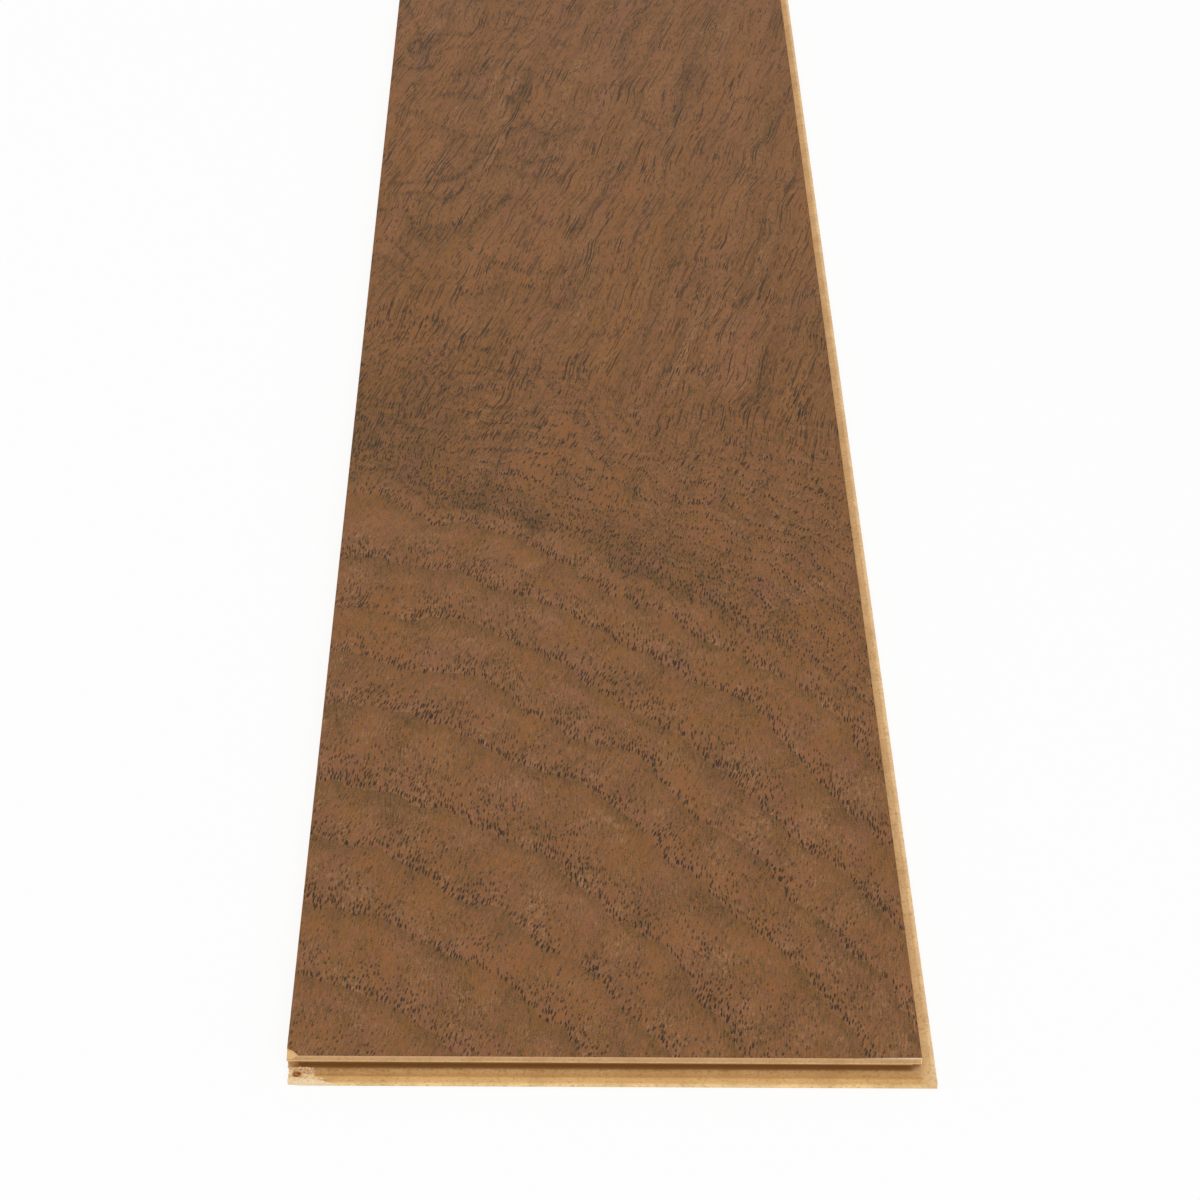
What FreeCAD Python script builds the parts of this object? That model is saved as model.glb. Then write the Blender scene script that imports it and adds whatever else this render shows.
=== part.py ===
import FreeCAD
import Part
import Sketcher
import math
import os

# Wide plank floorboard: one laminate board with a milled click profile on all four sides.
# Millimetres. X is the width, Y the length, Z up, and the board lies on its underside at Z = 0.
# The origin is the middle of the box round the board. The near short side and the right long
# side carry the lower lip, and the far short side and the left long side drop onto such a lip.
# Depths are measured down from the walked face, and reaches outward from the joint face, where
# the walked faces of two laid boards meet.

SIZES = {
    # The walked face, from joint to joint, and the whole thickness.
    "board_length": 1285.0,
    "board_width": 193.0,
    "board_thickness": 8.0,
    "decor_thickness": 0.3,
    # The lipped sides: the upper lip, the groove milled in under it, and the long lower lip.
    "joint_face_height": 2.7,
    "lead_in_radius": 0.7,
    "undercut_reach": 2.4,
    "undercut_roof_fall": 0.4,
    "undercut_radius": 0.6,
    "undercut_floor_depth": 5.2,
    "lip_reach": 4.7,
    "trough_depth": 5.9,
    "crest_land": 0.6,
    "crest_bevel": 0.9,
    "crest_radius": 0.25,
    "lip_edge_depth": 5.9,
    # The dropping sides: a snap nose that stays under the edge of the walked face, and a
    # tongue that fits the trough of the neighbour's lip.
    "nose_reach": 0.45,
    "nose_depth": 3.0,
    "nose_flank": 0.45,
    "nose_land": 0.5,
    "seat_radius": 0.3,
    "joint_play": 0.1,
    # The chipped corner of the walked face, at the near left.
    "chip_along_length": 3.1,
    "chip_along_width": 3.7,
    "chip_waist_length": 2.1,
    "chip_waist_width": 1.9,
    "chip_depth": 1.3,
    "chip_slope": 55.0,
    # How much of the snap nose is broken off there, from the near end.
    "lost_nose": 8.0,
    # The torn stub of the lip under that corner, with the pit broken into it. Its root fills the
    # near end of the seat on the left side, from under the groove to a little way past it.
    "stub_setback": 0.4,
    "stub_floor": 0.6,
    "stub_root": 1.2,
    "pit_length": 3.0,
    "pit_width": 2.9,
    "pit_setback": 1.5,
    "pit_corner": 0.8,
    # How far a cut runs past the stock, so that it leaves no skin.
    "overrun": 2.0,
}

doc = FreeCAD.newDocument("floorboard")
sheet = doc.addObject("Spreadsheet::Sheet", "Sizes")
for row, (alias, value) in enumerate(SIZES.items(), start=1):
    sheet.set(f"A{row}", alias)
    sheet.set(f"B{row}", str(value))
    sheet.setAlias(f"B{row}", alias)
doc.recompute()


class Length:
    """A length in the model: its present value, and the formula over the sheet that drives it."""

    def __init__(self, value, formula):
        self.value = value
        self.formula = formula

    def __add__(self, other):
        return Length(self.value + other.value, f"({self.formula} + {other.formula})")

    def __sub__(self, other):
        return Length(self.value - other.value, f"({self.formula} - {other.formula})")

    def __neg__(self):
        return Length(-self.value, f"-({self.formula})")

    def half(self):
        return Length(self.value / 2, f"({self.formula} / 2)")


def size(alias):
    """The length that the sheet holds under this alias."""
    return Length(SIZES[alias], f"Sizes.{alias}")


# Places that both sub-parts are built from.
nothing = Length(0.0, "0")
thickness = size("board_thickness")
core_top = thickness - size("decor_thickness")
lip_reach = size("lip_reach")
nose_reach = size("nose_reach")
play = size("joint_play")
overrun = size("overrun")
crest_start = lip_reach - size("crest_bevel") - size("crest_land")
crest_end = lip_reach - size("crest_bevel")
box_right = (size("board_width") + lip_reach + nose_reach).half()
box_far = (size("board_length") + lip_reach + nose_reach).half()
right_joint = box_right - lip_reach
left_joint = nose_reach - box_right
far_joint = box_far - nose_reach
near_joint = lip_reach - box_far
near_lip_end = left_joint + lip_reach + play
right_lip_end = far_joint - lip_reach - play


class Mark:
    """A named place on an outline: a corner, sharp or rounded, or the middle of an arc."""

    def __init__(self, name, x, y, radius=None, on_arc=False):
        self.name = name
        self.x = x
        self.y = y
        self.radius = radius
        self.on_arc = on_arc
        self.point = FreeCAD.Vector(x.value, y.value, 0)


def new_sketch(body, name, plane_role):
    """A sketch on one of the body's own origin planes."""
    sketch = body.newObject("Sketcher::SketchObject", name)
    plane = next(feature for feature in body.Origin.OriginFeatures if feature.Role == plane_role)
    sketch.AttachmentSupport = [(plane, "")]
    sketch.MapMode = "FlatFace"
    return sketch


def bind(sketch, constraint, name, formula):
    """Add a named constraint and tie it to its formula."""
    index = sketch.addConstraint(constraint)
    sketch.renameConstraint(index, name)
    sketch.setExpression(f"Constraints.{name}", formula)


def place(sketch, mark, geometry, end):
    """Hold one end of a piece of geometry at the mark."""
    across = Sketcher.Constraint("DistanceX", -1, 1, geometry, end, mark.x.value)
    upward = Sketcher.Constraint("DistanceY", -1, 1, geometry, end, mark.y.value)
    bind(sketch, across, f"{mark.name}_x", mark.x.formula)
    bind(sketch, upward, f"{mark.name}_y", mark.y.formula)


def add_arc(sketch, start, middle, end):
    """Add the arc through three points, and say which of its ends is the start and which the end."""
    turn = (middle - start).cross(end - start).z
    if turn > 0:
        return sketch.addGeometry(Part.Arc(start, middle, end)), 1, 2
    return sketch.addGeometry(Part.Arc(end, middle, start)), 2, 1


def rounding(before, corner, after):
    """Where the round at a corner starts, passes its middle and ends."""
    back = (before.point - corner.point).normalize()
    ahead = (after.point - corner.point).normalize()
    half_angle = back.getAngle(ahead) / 2
    run = corner.radius.value / math.tan(half_angle)
    inward = (back + ahead).normalize()
    middle = corner.point + inward * (corner.radius.value / math.sin(half_angle) - corner.radius.value)
    return corner.point + back * run, middle, corner.point + ahead * run


def draw_outline(sketch, marks):
    """Draw the closed outline that passes the marks in turn, every mark tied to the sheet."""
    corners = [mark for mark in marks if not mark.on_arc]
    rounds = {}
    for place_in_turn, corner in enumerate(corners):
        if corner.radius:
            before = corners[place_in_turn - 1]
            after = corners[(place_in_turn + 1) % len(corners)]
            rounds[corner.name] = rounding(before, corner, after)

    edges = []
    for place_in_turn, corner in enumerate(corners):
        following = corners[(place_in_turn + 1) % len(corners)]
        start = rounds[corner.name][2] if corner.radius else corner.point
        end = rounds[following.name][0] if following.radius else following.point
        between = marks[(marks.index(corner) + 1) % len(marks)]
        if between.on_arc:
            edges.append(add_arc(sketch, start, between.point, end))
            middle = sketch.addGeometry(Part.Point(between.point), True)
            place(sketch, between, middle, 1)
            sketch.addConstraint(Sketcher.Constraint("PointOnObject", middle, 1, edges[-1][0]))
        else:
            edges.append((sketch.addGeometry(Part.LineSegment(start, end)), 1, 2))

    for place_in_turn, corner in enumerate(corners):
        last, _, last_end = edges[place_in_turn - 1]
        following, first_end, _ = edges[place_in_turn]
        if not corner.radius:
            sketch.addConstraint(Sketcher.Constraint("Coincident", last, last_end, following, first_end))
            place(sketch, corner, following, first_end)
            continue
        curve, curve_start, curve_end = add_arc(sketch, *rounds[corner.name])
        sketch.addConstraint(Sketcher.Constraint("Tangent", last, last_end, curve, curve_start))
        sketch.addConstraint(Sketcher.Constraint("Tangent", curve, curve_end, following, first_end))
        sharp = sketch.addGeometry(Part.Point(corner.point), True)
        sketch.addConstraint(Sketcher.Constraint("PointOnObject", sharp, 1, last))
        sketch.addConstraint(Sketcher.Constraint("PointOnObject", sharp, 1, following))
        place(sketch, corner, sharp, 1)
        radius = Sketcher.Constraint("Radius", curve, corner.radius.value)
        bind(sketch, radius, f"{corner.name}_r", corner.radius.formula)


def pad(body, name, sketch, height):
    """Raise the sketch's outline straight up by a height."""
    feature = body.newObject("PartDesign::Pad", name)
    feature.Profile = sketch
    feature.setExpression("Length", height.formula)
    doc.recompute()
    return feature


def mill(body, name, sketch):
    """Run a cutter with the sketch's outline along the whole board."""
    before = body.Shape.Volume
    cut = body.newObject("PartDesign::Pocket", name)
    cut.Profile = sketch
    cut.SideType = "Symmetric"
    cut.Type = "ThroughAll"
    doc.recompute()
    if not body.Shape.Volume < before:
        raise RuntimeError(f"{name} took nothing away")
    return cut


def lipped_side(body, name, plane_role, joint, outward):
    """Mill one side to an upper lip, a groove under it and a lower lip that reaches past it."""

    def mark(label, reach, depth, radius=None, on_arc=False):
        across = joint + reach if outward > 0 else joint - reach
        return Mark(label, across, thickness - depth, radius, on_arc)

    roof_start = size("joint_face_height")
    roof_end = roof_start + size("undercut_roof_fall")
    groove_floor = size("undercut_floor_depth")
    sketch = new_sketch(body, f"{name}Profile", plane_role)
    draw_outline(sketch, [
        mark("face_top", nothing, -overrun),
        mark("upper_lip", nothing, roof_start, size("lead_in_radius")),
        mark("roof_end", -size("undercut_reach"), roof_end, size("undercut_radius")),
        mark("groove_floor", -size("undercut_reach"), groove_floor, size("undercut_radius")),
        mark("trough_start", nothing, groove_floor),
        mark("trough_low", crest_start.half(), size("trough_depth"), on_arc=True),
        mark("crest_start", crest_start, groove_floor),
        mark("crest_end", crest_end, groove_floor, size("crest_radius")),
        mark("lip_edge", lip_reach, size("lip_edge_depth")),
        mark("lip_clear", lip_reach + overrun, size("lip_edge_depth")),
        mark("top_clear", lip_reach + overrun, -overrun),
    ])
    mill(body, f"{name}Cut", sketch)


def dropping_side(body, name, plane_role, joint, outward):
    """Mill one side to a snap nose, and below it a tongue and a seat for the neighbour's lip."""

    def mark(label, reach, depth, radius=None, on_arc=False):
        across = joint + reach if outward > 0 else joint - reach
        return Mark(label, across, thickness - depth, radius, on_arc)

    clear = nose_reach + overrun
    nose_top = size("nose_depth") + size("nose_flank")
    nose_bottom = nose_top + size("nose_land")
    above = new_sketch(body, f"{name}TopProfile", plane_role)
    draw_outline(above, [
        mark("face_top", nothing, -overrun),
        mark("face_foot", nothing, size("nose_depth")),
        mark("nose_top", nose_reach, nose_top),
        mark("nose_clear", clear, nose_top),
        mark("top_clear", clear, -overrun),
    ])
    mill(body, f"{name}TopCut", above)

    seat = size("undercut_floor_depth") - play
    below = new_sketch(body, f"{name}SeatProfile", plane_role)
    draw_outline(below, [
        mark("nose_clear", clear, nose_bottom),
        mark("nose_bottom", nose_reach, nose_bottom),
        mark("nose_foot", -play, nose_bottom + size("nose_flank")),
        mark("tongue_start", -play, seat),
        mark("tongue_low", -crest_start.half(), size("trough_depth") - play, on_arc=True),
        mark("tongue_end", -crest_start, seat),
        mark("seat_end", -(lip_reach + play), seat, size("seat_radius")),
        mark("seat_foot", -(lip_reach + play), thickness + overrun),
        mark("foot_clear", clear, thickness + overrun),
    ])
    mill(body, f"{name}SeatCut", below)


def cut_off_square(body, name, inner, outer):
    """Take away all that stands between two corners of the plan, over the whole thickness."""
    inner_x, inner_y = inner
    outer_x, outer_y = outer
    sketch = new_sketch(body, f"{name}Outline", "XY_Plane")
    draw_outline(sketch, [
        Mark("inner", inner_x, inner_y),
        Mark("inner_x_outer_y", inner_x, outer_y),
        Mark("outer", outer_x, outer_y),
        Mark("outer_x_inner_y", outer_x, inner_y),
    ])
    mill(body, f"{name}Cut", sketch)


def chip_outline(sketch):
    """The break line across the near left corner of the walked face, closed outside the board."""
    draw_outline(sketch, [
        Mark("break_left", left_joint, near_joint + size("chip_along_length")),
        Mark("break_waist", left_joint + size("chip_waist_width"),
             near_joint + size("chip_waist_length")),
        Mark("break_near", left_joint + size("chip_along_width"), near_joint),
        Mark("near_clear", left_joint + size("chip_along_width"), near_joint - lip_reach - overrun),
        Mark("corner_clear", left_joint - lip_reach - overrun, near_joint - lip_reach - overrun),
        Mark("left_clear", left_joint - lip_reach - overrun,
             near_joint + size("chip_along_length")),
    ])


def torn_stub(body):
    """The torn end of the near lip, left standing under the chipped corner, with its pit."""
    stub_left = left_joint + size("stub_setback")
    tip_left = stub_left + size("stub_setback")
    near_edge = near_joint - lip_reach
    groove_end = near_joint + size("undercut_reach")
    root_end = groove_end + size("stub_root")
    outline = [
        Mark("root_far", near_lip_end, groove_end),
        Mark("root_near", near_lip_end, near_edge),
        Mark("tip_near", stub_left, near_edge + size("stub_setback")),
        Mark("tip_far", tip_left, near_joint),
        Mark("tip_end", tip_left, groove_end),
    ]
    floor = new_sketch(body, "StubFloorOutline", "XY_Plane")
    draw_outline(floor, outline)
    pad(body, "StubFloor", floor, size("stub_floor"))

    root = new_sketch(body, "StubRootOutline", "XY_Plane")
    draw_outline(root, [
        Mark("root_start_left", tip_left, near_joint),
        Mark("root_start_right", near_lip_end, near_joint),
        Mark("root_end_right", near_lip_end, root_end),
        Mark("root_end_left", tip_left, root_end),
    ])
    pad(body, "StubRoot", root, thickness - size("undercut_floor_depth") + play)

    pit_left = stub_left + size("pit_setback") - size("stub_setback")
    pit_right = pit_left + size("pit_width")
    pit_far = near_joint - size("pit_corner").half()
    pit_near = pit_far - size("pit_length")
    wall = new_sketch(body, "StubWallOutline", "XY_Plane")
    draw_outline(wall, outline)
    draw_outline(wall, [
        Mark("pit_far_left", pit_left + size("pit_corner"), pit_far),
        Mark("pit_left_far", pit_left, pit_far - size("pit_corner")),
        Mark("pit_near_left", pit_left + size("pit_corner").half(), pit_near),
        Mark("pit_near_right", pit_right - size("pit_corner"), pit_near),
        Mark("pit_right", pit_right, pit_near + size("pit_corner")),
        Mark("pit_far_right", pit_right, pit_far),
    ])
    pad(body, "StubWall", wall, thickness - size("trough_depth"))


def hdf_core():
    """The board's pressed-fibre core, milled from a blank with its profile on all four sides."""
    body = doc.addObject("PartDesign::Body", "HdfCore")
    body.Label = "hdf_core"
    blank = new_sketch(body, "BlankOutline", "XY_Plane")
    draw_outline(blank, [
        Mark("near_left", -box_right, -box_far),
        Mark("near_right", box_right, -box_far),
        Mark("far_right", box_right, box_far),
        Mark("far_left", -box_right, box_far),
    ])
    pad(body, "Blank", blank, core_top)
    lipped_side(body, "RightSide", "XZ_Plane", right_joint, 1)
    lipped_side(body, "NearSide", "YZ_Plane", near_joint, -1)
    dropping_side(body, "LeftSide", "XZ_Plane", left_joint, -1)
    dropping_side(body, "FarSide", "YZ_Plane", far_joint, 1)
    # A lip ends where the tongue of the side that it meets would drop onto it.
    cut_off_square(body, "NearLipEnd", (near_lip_end, near_joint),
                   (left_joint - overrun, near_joint - lip_reach - overrun))
    cut_off_square(body, "RightLipEnd", (right_joint, right_lip_end),
                   (right_joint + lip_reach + overrun, far_joint + overrun))
    cut_off_square(body, "LostNose", (left_joint, near_joint + size("lost_nose")),
                   (left_joint - overrun, near_joint - overrun))
    torn_stub(body)

    chip = new_sketch(body, "CoreChipOutline", "XY_Plane")
    chip.setExpression("AttachmentOffset.Base.z", core_top.formula)
    chip_outline(chip)
    before = body.Shape.Volume
    break_off = body.newObject("PartDesign::Pocket", "CoreChip")
    break_off.Profile = chip
    break_off.setExpression("Length", "Sizes.chip_depth")
    break_off.setExpression("TaperAngle", "-Sizes.chip_slope")
    doc.recompute()
    if not body.Shape.Volume < before:
        raise RuntimeError("the chip took nothing away")
    return body


def decor_layer():
    """The thin walked layer, pressed onto the core and sawn flush with its joint faces."""
    body = doc.addObject("PartDesign::Body", "DecorLayer")
    body.Label = "decor_layer"
    outline = new_sketch(body, "DecorOutline", "XY_Plane")
    draw_outline(outline, [
        Mark("break_left", left_joint, near_joint + size("chip_along_length")),
        Mark("break_waist", left_joint + size("chip_waist_width"),
             near_joint + size("chip_waist_length")),
        Mark("break_near", left_joint + size("chip_along_width"), near_joint),
        Mark("near_right", right_joint, near_joint),
        Mark("far_right", right_joint, far_joint),
        Mark("far_left", left_joint, far_joint),
    ])
    pad(body, "Decor", outline, size("decor_thickness"))
    body.setExpression("Placement.Base.z", core_top.formula)
    return body


sub_parts = [hdf_core(), decor_layer()]
doc.recompute()

for item in doc.Objects:
    if "Invalid" in item.State or "Error" in item.State:
        raise RuntimeError(f"{item.Name} failed to build")
for body in sub_parts:
    if body.Shape.isNull() or not body.Shape.isValid():
        raise RuntimeError(f"{body.Label} has no sound shape")

os.makedirs("parts", exist_ok=True)
for body in sub_parts:
    body.Shape.exportStep(f"parts/{body.Label}.step")
    print(f"{body.Label}: {len(body.Shape.Solids)} solid, {body.Shape.Volume:.1f} mm3")
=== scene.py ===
import math
import random

import bmesh
import bpy
from mathutils import Matrix, Vector, noise


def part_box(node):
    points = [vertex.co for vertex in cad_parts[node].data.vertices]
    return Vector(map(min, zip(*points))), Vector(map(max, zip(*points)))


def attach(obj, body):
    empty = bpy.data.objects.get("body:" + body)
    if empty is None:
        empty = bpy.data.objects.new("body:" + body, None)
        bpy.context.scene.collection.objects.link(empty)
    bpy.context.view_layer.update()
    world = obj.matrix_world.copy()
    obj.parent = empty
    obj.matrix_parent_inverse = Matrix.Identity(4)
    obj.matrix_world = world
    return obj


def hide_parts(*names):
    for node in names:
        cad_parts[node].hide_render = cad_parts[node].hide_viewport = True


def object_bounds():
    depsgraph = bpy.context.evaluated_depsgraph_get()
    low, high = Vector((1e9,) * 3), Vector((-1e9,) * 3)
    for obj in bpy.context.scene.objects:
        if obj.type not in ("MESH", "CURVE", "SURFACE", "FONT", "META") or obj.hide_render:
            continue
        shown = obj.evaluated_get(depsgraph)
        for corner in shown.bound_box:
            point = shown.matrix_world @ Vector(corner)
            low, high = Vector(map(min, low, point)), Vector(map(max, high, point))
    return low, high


MM = 0.001

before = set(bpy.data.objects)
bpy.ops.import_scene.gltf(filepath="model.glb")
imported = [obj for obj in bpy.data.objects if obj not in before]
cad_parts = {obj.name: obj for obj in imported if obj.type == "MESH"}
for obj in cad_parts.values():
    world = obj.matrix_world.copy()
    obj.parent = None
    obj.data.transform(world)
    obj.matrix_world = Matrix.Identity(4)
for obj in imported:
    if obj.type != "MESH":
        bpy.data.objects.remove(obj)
cad_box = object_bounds()
_, core_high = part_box("hdf_core")
decor_low, decor_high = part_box("decor_layer")


# Colours, as sRGB values out of 255.
WOOD_DARK = (78, 57, 31)
WOOD_MID = (117, 84, 51)
WOOD_LIGHT = (178, 129, 90)
WOOD_OLIVE = (98, 78, 42)
WOOD_ROSE = (142, 93, 70)
WOOD_ORANGE = (150, 97, 50)
WOOD_GREY = (90, 78, 64)
WOOD_BRIGHT = (170, 110, 62)
PORE = (42, 38, 30)
DECOR_CUT_EDGE = (205, 168, 126)
# A pale line for the near arris: partly wear, partly a painted highlight.
ARRIS_HIGHLIGHT_PALE = (236, 214, 184)
CORE_MILLED = (209, 167, 117)
# Painted light, for the lead-in round and the top of the groove's back wall, both in shade.
CORE_PAINTED_LIGHT = (250, 214, 164)
# Painted shade, down in the groove under the upper lip.
CORE_GROOVE_SHADE = (140, 96, 44)
CORE_TROUGH = (212, 165, 103)
CORE_LONG_LIP = (248, 212, 162)
CORE_OUTER = (220, 171, 108)
# Painted light, for the lip's lower edge and the near right corner's highlight.
CORE_PAINTED_EDGE_LIGHT = (255, 220, 160)
CORE_FIBRE_DARK = (168, 120, 66)
CORE_FIBRE_PALE = (236, 204, 152)
CORE_CHIP = (233, 190, 134)
# Painted shade inside the pit.
CORE_PIT_SHADE = (214, 160, 102)
TORN_CREAM = (250, 232, 196)
TORN_TAN = (224, 168, 100)
# Painted shade, for torn fibre that lies low in the pit.
TORN_PAINTED_SHADE = (196, 138, 82)
BACKING = (176, 150, 118)
BACKING_SHADE = (146, 122, 92)
BACKING_PALE = (196, 172, 140)
FLOOR_WHITE = (253, 253, 253)

# Places on the board are in millimetres: across from the left joint, along from the near joint,
# and high from the underside.
BOARD_WIDTH = (decor_high.x - decor_low.x) / MM
CORE_TOP = core_high.z / MM
PIT_ACROSS = (1.5, 4.4)
PIT_ALONG = (-3.4, -0.4)


class Wiring:
    """Short names for making and joining a material's nodes."""

    def __init__(self, tree):
        self.tree = tree

    def node(self, kind, **settings):
        made = self.tree.nodes.new(kind)
        for name, value in settings.items():
            setattr(made, name, value)
        return made

    def feed(self, socket, value):
        """Join a socket to another one, or set it to a plain value."""
        if isinstance(value, bpy.types.NodeSocket):
            self.tree.links.new(value, socket)
        else:
            socket.default_value = value

    def math(self, operation, *values):
        made = self.node("ShaderNodeMath", operation=operation)
        for socket, value in zip(made.inputs, values):
            self.feed(socket, value)
        return made.outputs[0]

    def product(self, first, *others):
        for other in others:
            first = self.math("MULTIPLY", first, other)
        return first

    def largest(self, first, *others):
        for other in others:
            first = self.math("MAXIMUM", first, other)
        return first

    def centred(self, value):
        """Noise, which runs from 0 to 1, brought to run evenly below and above 0."""
        return self.math("SUBTRACT", value, 0.5)

    def span(self, value, from_low, from_high, to_low=0.0, to_high=1.0, smooth=False):
        """Map a range onto another, clamped at its ends."""
        made = self.node("ShaderNodeMapRange")
        made.interpolation_type = "SMOOTHSTEP" if smooth else "LINEAR"
        for name, given in zip(("Value", "From Min", "From Max", "To Min", "To Max"),
                               (value, from_low, from_high, to_low, to_high)):
            self.feed(made.inputs[name], given)
        return made.outputs["Result"]

    def fade(self, amount, at_none, at_all):
        """One value where an amount is 0, another where it is 1, and between them in between."""
        return self.span(amount, 0.0, 1.0, at_none, at_all)

    def swing(self, value, reach):
        """The middle half of a noise, stretched to run from -reach to reach."""
        return self.span(value, 0.25, 0.75, -reach, reach)

    def join(self, x, y, z=0.0):
        made = self.node("ShaderNodeCombineXYZ")
        for socket, value in zip(made.inputs, (x, y, z)):
            self.feed(socket, value)
        return made.outputs[0]

    def split(self, vector):
        made = self.node("ShaderNodeSeparateXYZ")
        self.feed(made.inputs[0], vector)
        return made.outputs

    def noise(self, vector, size, detail, roughness=0.5, colour=False):
        """Noise whose features measure about size, in the vector's own units."""
        made = self.node("ShaderNodeTexNoise")
        self.feed(made.inputs["Vector"], vector)
        made.inputs["Scale"].default_value = 1 / size
        made.inputs["Detail"].default_value = detail
        made.inputs["Roughness"].default_value = roughness
        return made.outputs["Color"] if colour else made.outputs["Fac"]

    def blend(self, amount, first, second):
        """From the first colour to the second. A plain colour is given as sRGB."""
        made = self.node("ShaderNodeMix", data_type="RGBA")
        self.feed(made.inputs["Factor"], amount)
        for name, colour in (("A", first), ("B", second)):
            self.feed(made.inputs[name], paint(colour) if isinstance(colour, tuple) else colour)
        return [output for output in made.outputs if output.type == "RGBA"][0]

    def bump(self, height, distance, strength):
        made = self.node("ShaderNodeBump")
        made.inputs["Strength"].default_value = strength
        made.inputs["Distance"].default_value = distance
        self.feed(made.inputs["Height"], height)
        return made.outputs["Normal"]


def paint(srgb):
    """A colour for a shader, from sRGB values out of 255."""
    linear = []
    for value in srgb:
        level = value / 255
        linear.append(level / 12.92 if level <= 0.04045 else ((level + 0.055) / 1.055) ** 2.4)
    return (*linear, 1.0)


def new_material(name):
    """An empty principled material with its wiring and its shader."""
    material = bpy.data.materials.new(name)
    material.use_nodes = True
    wiring = Wiring(material.node_tree)
    shader = material.node_tree.nodes["Principled BSDF"]
    return material, wiring, shader


def board_place(wiring):
    """The place on the board, in millimetres across, along and high."""
    coordinates = wiring.node("ShaderNodeTexCoord").outputs["Object"]
    x, y, z = wiring.split(coordinates)
    across = wiring.math("MULTIPLY_ADD", x, 1 / MM, -decor_low.x / MM)
    along = wiring.math("MULTIPLY_ADD", y, 1 / MM, -decor_low.y / MM)
    height = wiring.math("MULTIPLY", z, 1 / MM)
    return across, along, height


# The printed wood's ring lines. Each is given by the place along where it would meet the left
# side if nothing bent it.
RING_LINES = [-40, -8, 32, 72, 106, 135, 177, 209, 236, 267, 294, 312]
FINE_RING_PITCH = 8.0
FINE_RING_COUNT = 15
FAR_RING_PITCH = 30.0
FAR_RING_SWING = 11.0
FAR_RING_TURN = 2.3
FIGURE_SPAN = 1700.0

# The run of the ring lines: the slope that they leave the left side's strip with, how the slope
# changes with each millimetre across and along, and where along it settles.
LEFT_STRIP = 18.0
RING_SLOPE = 0.82
SLOPE_PER_ACROSS = 0.0019
SLOPE_PER_ALONG = -0.00205
SLOPE_SETTLES = (560.0, 200.0)

# What bends them, as the size of the bends and how far they move a line, near and far.
BEND_GROWS = (330.0, 480.0)
BEND_SIZE = 75.0
BEND_REACH = (34.0, 90.0)
RIPPLE_SIZE = 20.0
RIPPLE_REACH = 20.0
FLAME_SIZE = 90.0
FLAME_REACH = 110.0
FLAME_NARROWED = 2.4
KNEE_ACROSS = (46.0, 8.0)
KNEE_ALONG = (270.0, 312.0)
KNEE_REACH = 17.0


def ring_lines():
    """All ring lines from the near end to past the far end."""
    lines = list(RING_LINES)
    for _ in range(FINE_RING_COUNT):
        lines.append(lines[-1] + FINE_RING_PITCH)
    turn = 0
    while lines[-1] < FIGURE_SPAN - FAR_RING_PITCH:
        turn += 1
        lines.append(lines[-1] + FAR_RING_PITCH + FAR_RING_SWING * math.sin(FAR_RING_TURN * turn))
    return lines


def count_lines(wiring, rise, lines):
    """How many ring lines lie before a place, from how far it rises along the board."""
    curve = wiring.node("ShaderNodeFloatCurve")
    track = curve.mapping.curves[0]
    low, high = lines[0], lines[-1]
    last = len(lines) - 1
    for number, line in enumerate(lines):
        spot = ((line - low) / (high - low), number / last)
        if number == 0:
            track.points[0].location = spot
        elif number == last:
            track.points[-1].location = spot
        else:
            track.points.new(*spot)
    for point in track.points:
        point.handle_type = "VECTOR"
    curve.mapping.update()
    wiring.feed(curve.inputs["Value"], wiring.span(rise, low, high))
    return wiring.math("MULTIPLY", curve.outputs[0], float(last))


def make_ring_field():
    """Node group: for a place on the board, how far it lies from one ring line to the next."""
    group = bpy.data.node_groups.new("ring_field", "ShaderNodeTree")
    group.interface.new_socket("Place", in_out="INPUT", socket_type="NodeSocketVector")
    group.interface.new_socket("Phase", in_out="OUTPUT", socket_type="NodeSocketFloat")
    group.interface.new_socket("Rise", in_out="OUTPUT", socket_type="NodeSocketFloat")
    wiring = Wiring(group)
    place = wiring.node("NodeGroupInput").outputs["Place"]
    across, along, _ = wiring.split(place)

    def wave(size, detail, shift):
        moved = wiring.join(wiring.math("ADD", across, shift), along, shift)
        return wiring.centred(wiring.noise(moved, size, detail))

    far = wiring.span(along, *BEND_GROWS, smooth=True)
    bend = wiring.product(wave(BEND_SIZE, 1.0, shift=0.0), wiring.fade(far, *BEND_REACH))
    ripple = wiring.product(wave(RIPPLE_SIZE, 2.0, shift=31.0), RIPPLE_REACH)
    flame = wiring.join(wiring.product(across, FLAME_NARROWED), along, 7.0)
    flame = wiring.product(wiring.centred(wiring.noise(flame, FLAME_SIZE, 1.0)),
                           far, FLAME_REACH)
    knee = wiring.product(wiring.span(across, *KNEE_ACROSS, 0.0, KNEE_REACH, smooth=True),
                          wiring.span(along, *KNEE_ALONG, smooth=True))
    bend = wiring.math("SUBTRACT", wiring.math("ADD", bend, flame), knee)

    eased = wiring.math("SQRT", wiring.math("MULTIPLY_ADD", across, across, LEFT_STRIP ** 2))
    eased = wiring.math("SUBTRACT", eased, LEFT_STRIP)
    reach = wiring.math("SMOOTH_MIN", along, *SLOPE_SETTLES)
    slope = wiring.math("MULTIPLY_ADD", eased, SLOPE_PER_ACROSS, RING_SLOPE)
    slope = wiring.math("MULTIPLY_ADD", reach, SLOPE_PER_ALONG, slope)
    rise = wiring.math("MULTIPLY_ADD", eased, slope, along)
    rise = wiring.math("ADD", wiring.math("ADD", rise, bend), ripple)

    count = count_lines(wiring, rise, ring_lines())
    output = wiring.node("NodeGroupOutput")
    wiring.feed(output.inputs["Phase"], wiring.math("FRACT", count))
    wiring.feed(output.inputs["Rise"], rise)
    return group


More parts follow.
